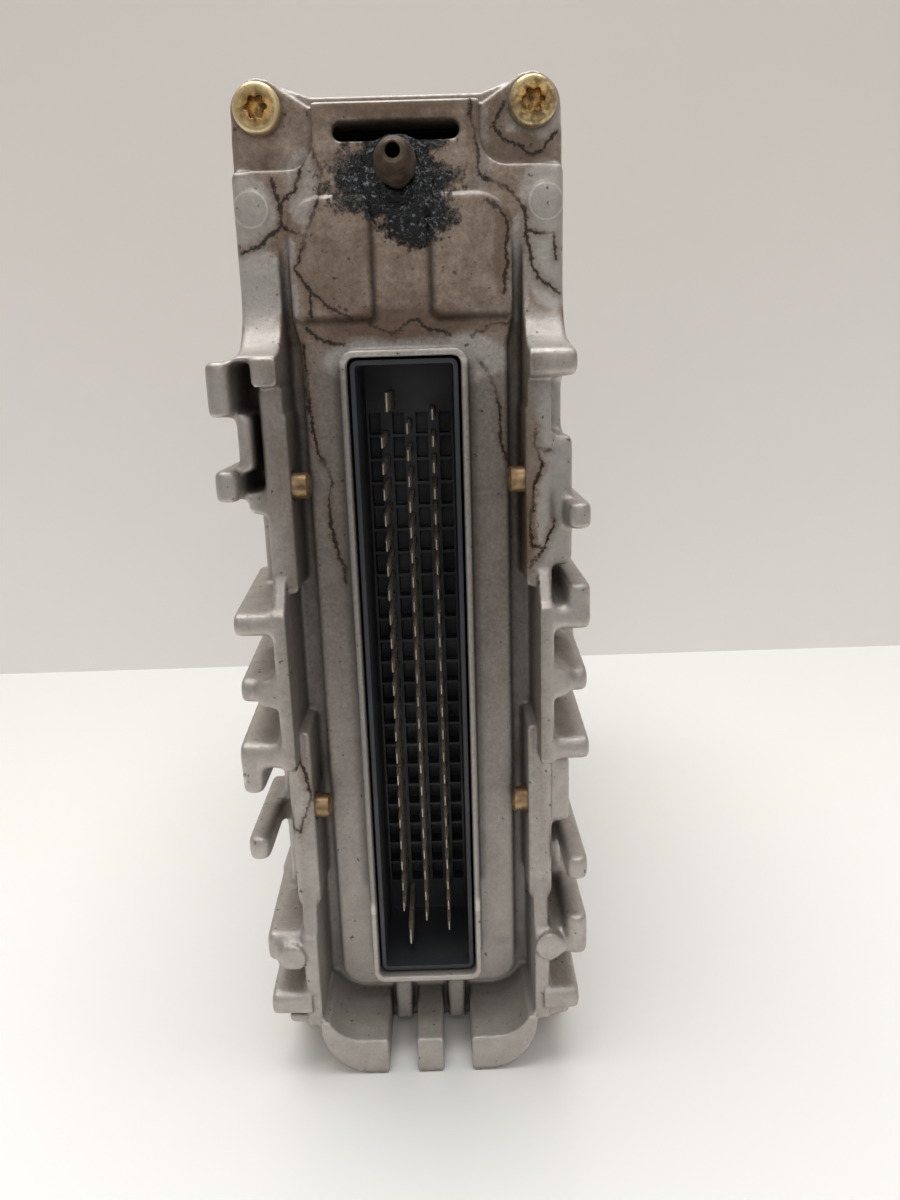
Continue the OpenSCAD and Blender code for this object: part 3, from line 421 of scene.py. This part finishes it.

    # Grease covers all of it: nearly black, wet and lumpy, with pale specks that are grit together with
    # painted glints
    grit = put(tree, "ShaderNodeMapRange", {"Value": grain, 1: 0.57, 2: 0.65})
    black = put(tree, "ShaderNodeMix", {0: grit, 6: linear(looks.grease), 7: linear(looks.grit)},
                data_type="RGBA")
    tone = put(tree, "ShaderNodeMix", {0: grease, 6: tone, 7: black}, data_type="RGBA")
    lumps = put(tree, "ShaderNodeTexNoise", {"Vector": place, "Scale": per_mm(LUMPS), "Detail": 4.0})
    lumps = put(tree, "ShaderNodeMath", {0: lumps, 1: grease}, operation="MULTIPLY")
    height = put(tree, "ShaderNodeMath", {0: lumps, 1: 9.0, 2: height}, operation="MULTIPLY_ADD")
    gloss = put(tree, "ShaderNodeMapRange", {"Value": mottle, 1: 0.3, 2: 0.7, 3: 0.4, 4: 0.55})
    gloss = put(tree, "ShaderNodeMix", {0: grease, 2: gloss, 3: 0.1})
    mirror = put(tree, "ShaderNodeMix", {0: grease, 2: 0.5, 3: 0.4})
    metal = put(tree, "ShaderNodeMix", {0: grease, 2: metal, 3: 0.0})
    relief = put(tree, "ShaderNodeBump", {"Height": height, "Distance": RELIEF * MM, "Strength": 0.9})
    tree.links.new(tone.outputs[2], shader.inputs["Base Color"])
    tree.links.new(gloss.outputs[0], shader.inputs["Roughness"])
    tree.links.new(metal.outputs[0], shader.inputs["Metallic"])
    tree.links.new(mirror.outputs[0], shader.inputs["Specular IOR Level"])
    tree.links.new(relief.outputs[0], shader.inputs["Normal"])
    return material


def head_middles(node):
    """Middle of the upper and of the lower right-hand screw, from the points of their mesh."""
    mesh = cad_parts[node].data
    points = np.empty(3 * len(mesh.vertices))
    mesh.vertices.foreach_get("co", points)
    points = points.reshape(-1, 3)
    points = points[points[:, 0] > 0]
    split = points[:, 2].mean()
    groups = (points[points[:, 2] > split], points[points[:, 2] < split])
    return [(group.min(axis=0) + group.max(axis=0)) / 2 for group in groups]


def yellow_zinc(middles):
    """Yellow zinc plate on steel screws that a driver has worn.

    The eye sees a pale gold edge ring, which is the plate with a painted highlight, a brown face and a
    rusty socket darkened as painted shade with orange painted glints, and more tarnish on the right."""
    material, tree, shader = new_material("yellow_zinc_plate")
    place = put(tree, "ShaderNodeTexCoord").outputs["Object"]
    folded = put(tree, "ShaderNodeVectorMath", {0: place}, operation="ABSOLUTE")
    radius = 1.0
    for middle in middles:
        offset = put(tree, "ShaderNodeVectorMath", {0: folded, 1: (middle[0], 0, middle[2])},
                     operation="SUBTRACT")
        offset = put(tree, "ShaderNodeVectorMath", {0: offset, 1: (1, 0, 1)}, operation="MULTIPLY")
        reach = put(tree, "ShaderNodeVectorMath", {0: offset}, operation="LENGTH")
        radius = put(tree, "ShaderNodeMath", {0: reach, 1: radius}, operation="MINIMUM")
    spots = put(tree, "ShaderNodeTexNoise",
                {"Vector": place, "Scale": per_mm(1.2), "Detail": 5.0, "Roughness": 0.65})
    tint = put(tree, "ShaderNodeMapRange", {"Value": spots, 1: 0.38, 2: 0.62})
    face = put(tree, "ShaderNodeMix", {0: tint, 6: linear("#c2a775"), 7: linear("#8f7750")},
               data_type="RGBA")
    # The pale ring at the edge of each head is the plate's colour with a painted highlight
    rim_tone_and_highlight = put(tree, "ShaderNodeMapRange", {"Value": radius, 1: 2.5 * MM, 2: 3.1 * MM})
    tone = put(tree, "ShaderNodeMix", {0: rim_tone_and_highlight, 6: face, 7: linear("#dcc79c")}, data_type="RGBA")
    right = put(tree, "ShaderNodeSeparateXYZ", {0: place}).outputs[0]
    tarnish = put(tree, "ShaderNodeMapRange", {"Value": right, 1: 0.0, 2: 1 * MM, 3: 0.0, 4: 0.7})
    tarnish = put(tree, "ShaderNodeMath", {0: tarnish, 1: tint}, operation="MULTIPLY")
    tone = put(tree, "ShaderNodeMix", {0: tarnish, 6: tone, 7: linear("#6b5535")}, data_type="RGBA")
    # Socket tone: rusty brown, darkened as painted shade, with orange spots as painted glints
    rust_shade_and_glints = put(tree, "ShaderNodeMix", {0: tint, 6: linear("#cf9c55"), 7: linear("#55452f")},
               data_type="RGBA")
    socket = put(tree, "ShaderNodeMapRange", {"Value": radius, 1: 1.6 * MM, 2: 2.1 * MM, 3: 1.0, 4: 0.0})
    tone = put(tree, "ShaderNodeMix", {0: socket, 6: tone, 7: rust_shade_and_glints}, data_type="RGBA")
    gloss = put(tree, "ShaderNodeMapRange", {"Value": spots, 1: 0.3, 2: 0.7, 3: 0.26, 4: 0.46})
    edges = put(tree, "ShaderNodeBevel", {"Radius": EDGE_RADIUS}, samples=4)
    relief = put(tree, "ShaderNodeBump",
                 {"Height": spots, "Distance": 0.06 * MM, "Strength": 0.8, "Normal": edges})
    tree.links.new(tone.outputs[2], shader.inputs["Base Color"])
    tree.links.new(gloss.outputs[0], shader.inputs["Roughness"])
    tree.links.new(relief.outputs[0], shader.inputs["Normal"])
    shader.inputs["Metallic"].default_value = 0.85
    return material


def soft_casting(node, name, voxel_mm, passes, fin_passes, most_triangles):
    """A copy of a casting with its edges rounded as a die leaves them.

    The copy is merged and rebuilt on a fine grid. Smoothing then gives each edge a small radius, and a
    larger one on the fins beyond FIN_X, and the flats are thinned."""
    piece = bpy.data.objects.new(name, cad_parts[node].data.copy())
    bpy.context.scene.collection.objects.link(piece)
    weld = piece.modifiers.new("weld", "WELD")
    weld.merge_threshold = 0.001 * MM
    grid = piece.modifiers.new("grid", "REMESH")
    grid.mode = "VOXEL"
    grid.voxel_size = voxel_mm * MM
    bake_modifiers(piece)

    points = np.empty(3 * len(piece.data.vertices))
    piece.data.vertices.foreach_get("co", points)
    outside = (np.abs(points[0::3]) - FIN_X) / FIN_BLEND
    fins = piece.vertex_groups.new(name="fins")
    for weight in (0.25, 0.5, 0.75, 1.0):
        fins.add(np.flatnonzero(outside >= weight).tolist(), weight, "REPLACE")
    edges = piece.modifiers.new("edges", "SMOOTH")
    edges.factor = 0.5
    edges.iterations = passes
    rounder = piece.modifiers.new("fins", "SMOOTH")
    rounder.factor = 0.5
    rounder.iterations = fin_passes
    rounder.vertex_group = "fins"
    piece.modifiers.new("triangles", "TRIANGULATE")
    bake_modifiers(piece)
    if len(piece.data.polygons) > most_triangles:
        thin = piece.modifiers.new("thin", "DECIMATE")
        thin.ratio = most_triangles / len(piece.data.polygons)
        bake_modifiers(piece)
    piece.vertex_groups.clear()
    piece.data.shade_smooth()
    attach(piece, "root")
    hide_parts(node)
    return piece


def bake_modifiers(piece):
    """Puts what the modifiers make into the piece's mesh."""
    depsgraph = bpy.context.evaluated_depsgraph_get()
    mesh = bpy.data.meshes.new_from_object(piece.evaluated_get(depsgraph))
    piece.modifiers.clear()
    piece.data = mesh


class CastingLooks(bpy.types.PropertyGroup):
    """Sizes and colours of the two castings."""
    voxel: bpy.props.FloatProperty(
        name="Grid", description="Grid size that rounds the casting's edges, in millimetres", default=0.34)
    edge_passes: bpy.props.IntProperty(
        name="Edge passes", description="Smoothing passes that round the edges", default=4)
    fin_passes: bpy.props.IntProperty(
        name="Fin passes", description="Further passes that round the ends of the front's fins", default=40)
    front_triangles: bpy.props.IntProperty(
        name="Front triangles", description="Most triangles of the front casting", default=190000)
    rear_triangles: bpy.props.IntProperty(
        name="Rear triangles", description="Most triangles of the rear casting", default=120000)
    metallic: bpy.props.FloatProperty(
        name="Metallic", description="How bare the metal is under its lacquer", default=0.9,
        subtype="FACTOR")
    metallic_bay: bpy.props.FloatProperty(
        name="Metallic in the bay", description="The same in the dull plug bay", default=0.55,
        subtype="FACTOR")
    metallic_plate: bpy.props.FloatProperty(
        name="Metallic on the plate", description="The same under the browned film", default=0.45,
        subtype="FACTOR")
    metal_light: bpy.props.StringProperty(
        name="Clean metal", description="Clean cast metal", default="#bcb6b0")
    metal: bpy.props.StringProperty(
        name="Grey metal", description="Greyer cast metal", default="#aaa39d")
    dull: bpy.props.StringProperty(
        name="Dull metal", description="Dull metal round the plug", default="#938a82")
    dull_dark: bpy.props.StringProperty(
        name="Dark metal", description="Darker dull metal", default="#80776f")
    stain: bpy.props.StringProperty(
        name="Stain", description="Brown lacquer", default="#a89789")
    stain_dark: bpy.props.StringProperty(
        name="Deep stain", description="Deep brown lacquer", default="#725f50")
    # Dark tone of cracks and pits, also laid into the grooves as painted shade with dirt
    crack: bpy.props.StringProperty(
        name="Crack", description="Dark edge of a lacquer patch", default="#2b2119")
    # Tone that the occlusion test lays into corners: dirt together with painted shade
    dirt: bpy.props.StringProperty(
        name="Dirt", description="Dirt in corners", default="#514e4b")
    # Dark tone of painted shade, with grime, in creases
    grime: bpy.props.StringProperty(
        name="Grime", description="Dark line of grime in creases", default="#2a2725")
    # Bright tone for worn edges, also used as a painted highlight on edges, the plug's rim and the ejector
    # rings
    worn_edge_and_highlight: bpy.props.StringProperty(
        name="Worn edge", description="Bright worn edge", default="#e2dcd5")
    grease: bpy.props.StringProperty(
        name="Grease", description="Wet grease round the nipple", default="#06080a")
    # Pale specks in the grease: grit together with painted glints
    grit: bpy.props.StringProperty(
        name="Grit", description="Grey grit in the grease", default="#7c858b")


class StageLooks(bpy.types.PropertyGroup):
    """Camera, floor and lamps."""
    focal: bpy.props.FloatProperty(
        name="Focal length", description="Lens for a 36 mm high sensor, in millimetres", default=27.0)
    pitch: bpy.props.FloatProperty(
        name="Pitch", description="How far the camera looks down", default=math.radians(14.64),
        subtype="ANGLE")
    roll: bpy.props.FloatProperty(
        name="Roll", description="How far the camera is turned on its axis", default=math.radians(1.72),
        subtype="ANGLE")
    yaw: bpy.props.FloatProperty(
        name="Yaw", description="How far the camera looks to the right", default=math.radians(0.34),
        subtype="ANGLE")
    eye: bpy.props.FloatVectorProperty(
        name="Eye", description="Camera place, measured from the floor under the skirt's front",
        default=(0.0049, -0.1304, 0.1185), subtype="TRANSLATION")
    wall_gap: bpy.props.FloatProperty(
        name="Wall", description="Distance from the skirt's front to the wall", default=0.225,
        unit="LENGTH")
    board_front: bpy.props.FloatProperty(
        name="Board", description="How far the board reaches in front of the skirt", default=0.13,
        unit="LENGTH")
    half_width: bpy.props.FloatProperty(
        name="Half width", description="Half the width of the board and the wall", default=1.5,
        unit="LENGTH")
    wall_height: bpy.props.FloatProperty(
        name="Wall height", description="Height of the wall", default=0.6, unit="LENGTH")
    lamp_size: bpy.props.FloatProperty(
        name="Lamp size", description="Side of each square lamp", default=0.8, unit="LENGTH")
    ceiling_place: bpy.props.FloatVectorProperty(
        name="Ceiling lamp", description="Place of the lamp above", default=(-0.05, 0.04, 1.0),
        subtype="TRANSLATION")
    ceiling_power: bpy.props.FloatProperty(
        name="Ceiling power", description="Power of the lamp above", default=9.3, unit="POWER")
    fill_place: bpy.props.FloatVectorProperty(
        name="Front lamp", description="Place of the lamp in front", default=(0.1, -0.9, 0.7),
        subtype="TRANSLATION")
    fill_power: bpy.props.FloatProperty(
        name="Front power", description="Power of the lamp in front", default=1.6, unit="POWER")
    room: bpy.props.StringProperty(
        name="Room", description="Colour of the light from all round", default="#e8e6e4")
    room_strength: bpy.props.FloatProperty(
        name="Room strength", description="Strength of the light from all round", default=0.5)
    floor: bpy.props.StringProperty(
        name="Floor", description="Floor colour", default="#f6f5f2")
    wall: bpy.props.StringProperty(
        name="Upper wall", description="Wall colour high up", default="#dcd5ce")
    # Wall colour by the floor, paler as painted bounce light
    wall_low_lit: bpy.props.StringProperty(
        name="Lower wall", description="Wall colour by the floor", default="#f3f0ec")


class ECU_OT_front_casting(bpy.types.Operator):
    """Rounds and dresses the front housing"""
    bl_idname = "ecu.front_casting"
    bl_label = "Front casting"

    def execute(self, context):
        looks = context.scene.ecu_casting
        piece = soft_casting("front_housing", "front_casting", looks.voxel, looks.edge_passes,
                             looks.fin_passes, looks.front_triangles)
        dress(piece, cast_aluminium(looks, "die_cast_aluminium_stained", True))
        return {"FINISHED"}


class ECU_OT_rear_casting(bpy.types.Operator):
    """Rounds and dresses the rear housing"""
    bl_idname = "ecu.rear_casting"
    bl_label = "Rear casting"

    def execute(self, context):
        looks = context.scene.ecu_casting
        # It has no fins, and its larger flats do with a coarser grid
        piece = soft_casting("rear_housing", "rear_casting", 2 * looks.voxel, looks.edge_passes,
                             looks.edge_passes, looks.rear_triangles)
        dress(piece, cast_aluminium(looks, "die_cast_aluminium", False))
        return {"FINISHED"}


class ECU_OT_plug(bpy.types.Operator):
    """Dresses the plastic connector and its blades"""
    bl_idname = "ecu.plug"
    bl_label = "Plug"

    def execute(self, context):
        # Black nylon with glass fibre: satin, a little paler where it was rubbed
        nylon = mottled("glass_filled_nylon", "#3a3c41", "#2d2f33", patch_mm=9, metallic=0.0,
                        roughness=0.4, grain_mm=0.5, grain_height=0.02)
        dress(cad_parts["connector_body"], nylon)
        # Tin over bronze: pale grey with a warm cast
        tin = mottled("dull_tin_plate", "#cdc2b2", "#a99b88", patch_mm=1.5, metallic=0.6,
                      roughness=0.34, grain_mm=0.3, grain_height=0.01)
        for row in ("blades_right_row", "blades_middle_row", "blades_left_row", "power_blades"):
            dress(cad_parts[row], tin)
        # Black moulded rubber: matt and even
        rubber = mottled("seal_rubber", "#202124", "#17181a", patch_mm=4, metallic=0.0,
                         roughness=0.7, grain_mm=0.4, grain_height=0.02)
        for seal in ("housing_seal", "connector_seal", "sensor_hose"):
            dress(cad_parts[seal], rubber)
        return {"FINISHED"}


class ECU_OT_fittings(bpy.types.Operator):
    """Dresses the screws, guide pins and nipple"""
    bl_idname = "ecu.fittings"
    bl_label = "Fittings"

    def execute(self, context):
        dress(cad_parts["housing_screws"], yellow_zinc(head_middles("housing_screws")))
        # Steel dowels that have gone brown, with some sheen left
        steel = mottled("tarnished_steel_pin", "#a98d68", "#6d5743", patch_mm=1.8, metallic=0.75,
                        roughness=0.4, grain_mm=0.4, grain_height=0.015)
        dress(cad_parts["guide_pins"], steel)
        # Brass that oil and heat have darkened
        brass = mottled("tarnished_brass", "#6b5b4b", "#3d332a", patch_mm=2.2, metallic=0.6,
                        roughness=0.42, grain_mm=0.5, grain_height=0.02)
        dress(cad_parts["pressure_nipple"], brass)
        return {"FINISHED"}


class ECU_OT_inner_parts(bpy.types.Operator):
    """Dresses the boards and what sits on them"""
    bl_idname = "ecu.inner_parts"
    bl_label = "Inner parts"

    def execute(self, context):
        # Pieces, two tones, size of the patches in millimetres, metallic and roughness
        finishes = {
            # Green lacquer over the copper of a board
            "solder_lacquer": (("main_board", "power_board"), "#2f6b3f", "#1f4a2c", 5, 0.0, 0.35),
            # Amber film with copper tracks in it
            "polyimide_foil": (("board_link",), "#a8662a", "#7d4517", 4, 0.0, 0.3),
            # Black epoxy with a dull face
            "moulded_epoxy": (("microcontroller", "program_memories", "driver_chips", "power_transistors",
                               "pressure_sensor"), "#26272a", "#1a1b1d", 3, 0.0, 0.55),
            # Rolled steel, clean and shiny
            "bright_steel": (("transistor_clamp", "clamp_screws", "clock_crystal"), "#bdbfc1", "#93969a",
                             3, 1.0, 0.3),
            # Smooth dark blue plastic
            "shrink_sleeve": (("storage_capacitors",), "#2b4268", "#1c2d4a", 4, 0.0, 0.3),
            # Ferrite under brown varnish
            "varnished_ferrite": (("suppressor_coil",), "#5a4436", "#3a2b22", 3, 0.0, 0.45),
        }
        for name, (nodes, light, dark, patch, metallic, roughness) in finishes.items():
            material = mottled(name, light, dark, patch, metallic, roughness, grain_mm=0.5,
                               grain_height=0.015)
            for node in nodes:
                dress(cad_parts[node], material)
        return {"FINISHED"}


def flat_sheet(name, corners):
    """A stage sheet with four corners."""
    mesh = bpy.data.meshes.new(name)
    mesh.from_pydata(corners, [], [(0, 1, 2, 3)])
    sheet = bpy.data.objects.new(name, mesh)
    bpy.context.scene.collection.objects.link(sheet)
    return sheet


def painted_wall(low_lit, high):
    """White emulsion on a plain wall, with painted bounce light that makes it paler by the floor, and faint
    roller marks.

    It is clear from behind, so that the back of the unit can be seen."""
    material, tree, shader = new_material("wall_emulsion")
    place = put(tree, "ShaderNodeTexCoord").outputs["Object"]
    # Paler towards the floor: painted light bounced from the floor
    rise = put(tree, "ShaderNodeSeparateXYZ", {0: place}).outputs[2]
    marks = put(tree, "ShaderNodeTexNoise", {"Vector": place, "Scale": per_mm(40), "Detail": 4.0})
    rise = put(tree, "ShaderNodeMath", {0: marks, 1: 30 * MM, 2: rise}, operation="MULTIPLY_ADD")
    share = put(tree, "ShaderNodeMapRange", {"Value": rise, 1: 0.0, 2: 0.3})
    tone = put(tree, "ShaderNodeMix", {0: share, 6: linear(low_lit), 7: linear(high)}, data_type="RGBA")
    behind = put(tree, "ShaderNodeNewGeometry").outputs["Backfacing"]
    shown = put(tree, "ShaderNodeMath", {0: 1.0, 1: behind}, operation="SUBTRACT")
    tree.links.new(tone.outputs[2], shader.inputs["Base Color"])
    tree.links.new(shown.outputs[0], shader.inputs["Alpha"])
    shader.inputs["Roughness"].default_value = 0.7
    return material


def lacquered_board(colour):
    """White lacquer on a flat board: pale and smooth, with a faint sheen."""
    material, _, shader = new_material("lacquered_board")
    shader.inputs["Base Color"].default_value = linear(colour)
    shader.inputs["Roughness"].default_value = 0.3
    return material


def soft_lamp(name, place, target, size, power):
    """A square lamp at place that shines on target."""
    data = bpy.data.lights.new(name, "AREA")
    data.size = size
    data.energy = power
    lamp = bpy.data.objects.new(name, data)
    lamp.location = place
    lamp.rotation_euler = (Vector(target) - Vector(place)).to_track_quat("-Z", "Y").to_euler()
    bpy.context.scene.collection.objects.link(lamp)


class ECU_OT_stage(bpy.types.Operator):
    """Makes the floor, wall, lamps and camera"""
    bl_idname = "ecu.stage"
    bl_label = "Stage"

    def execute(self, context):
        stage = context.scene.ecu_stage
        wide = stage.half_width
        tall = stage.wall_height
        wall_y = SKIRT_Y + stage.wall_gap
        edge_y = SKIRT_Y - stage.board_front
        floor = flat_sheet(
            "floor", [(-wide, edge_y, 0), (wide, edge_y, 0), (wide, wall_y, 0), (-wide, wall_y, 0)])
        dress(floor, lacquered_board(stage.floor))
        wall = flat_sheet(
            "wall", [(-wide, wall_y, 0), (wide, wall_y, 0), (wide, wall_y, tall), (-wide, wall_y, tall)])
        dress(wall, painted_wall(stage.wall_low_lit, stage.wall))

        # The lamps shine on the middle of the unit's front
        middle = (0.0, SKIRT_Y, 80 * MM)
        soft_lamp("ceiling", stage.ceiling_place, middle, stage.lamp_size, stage.ceiling_power)
        soft_lamp("front_fill", stage.fill_place, middle, stage.lamp_size, stage.fill_power)
        world = bpy.data.worlds.new("room")
        world.use_nodes = True
        light = world.node_tree.nodes["Background"]
        light.inputs["Color"].default_value = linear(stage.room)
        light.inputs["Strength"].default_value = stage.room_strength
        context.scene.world = world
        context.scene.view_settings.view_transform = "Standard"

        ahead = Vector((math.sin(stage.yaw) * math.cos(stage.pitch),
                        math.cos(stage.yaw) * math.cos(stage.pitch), -math.sin(stage.pitch)))
        right = Vector((math.cos(stage.yaw), -math.sin(stage.yaw), 0))
        down = ahead.cross(right)
        turned_right = math.cos(stage.roll) * right + math.sin(stage.roll) * down
        turned_down = -math.sin(stage.roll) * right + math.cos(stage.roll) * down
        data = bpy.data.cameras.new("photo_camera")
        data.sensor_fit = "VERTICAL"
        data.sensor_height = 36
        data.lens = stage.focal
        data.clip_start = 0.01
        camera = bpy.data.objects.new("photo_camera", data)
        turn = Matrix((turned_right, -turned_down, -ahead)).transposed()
        eye = Vector(stage.eye) + Vector((0, SKIRT_Y, 0))
        camera.matrix_world = Matrix.Translation(eye) @ turn.to_4x4()
        context.scene.collection.objects.link(camera)
        context.scene.camera = camera
        return {"FINISHED"}


OPERATORS = (ECU_OT_stage, ECU_OT_front_casting, ECU_OT_rear_casting, ECU_OT_plug, ECU_OT_fittings,
             ECU_OT_inner_parts)


class ECU_PT_panel(bpy.types.Panel):
    """Lists the steps that dress the control unit"""
    bl_idname = "ECU_PT_panel"
    bl_label = "Control unit"
    bl_space_type = "VIEW_3D"
    bl_region_type = "UI"
    bl_category = "Control unit"

    def draw(self, context):
        for operator in OPERATORS:
            self.layout.operator(operator.bl_idname)


CLASSES = (CastingLooks, StageLooks, *OPERATORS, ECU_PT_panel)


def register():
    """Registers the classes and their settings."""
    for item in CLASSES:
        bpy.utils.register_class(item)
    bpy.types.Scene.ecu_casting = bpy.props.PointerProperty(type=CastingLooks)
    bpy.types.Scene.ecu_stage = bpy.props.PointerProperty(type=StageLooks)


def unregister():
    """Takes them away again."""
    del bpy.types.Scene.ecu_stage
    del bpy.types.Scene.ecu_casting
    for item in reversed(CLASSES):
        bpy.utils.unregister_class(item)


def main():
    """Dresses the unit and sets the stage."""
    register()
    bpy.ops.ecu.stage()
    bpy.ops.ecu.front_casting()
    bpy.ops.ecu.rear_casting()
    bpy.ops.ecu.plug()
    bpy.ops.ecu.fittings()
    bpy.ops.ecu.inner_parts()


if __name__ == "__main__":
    main()
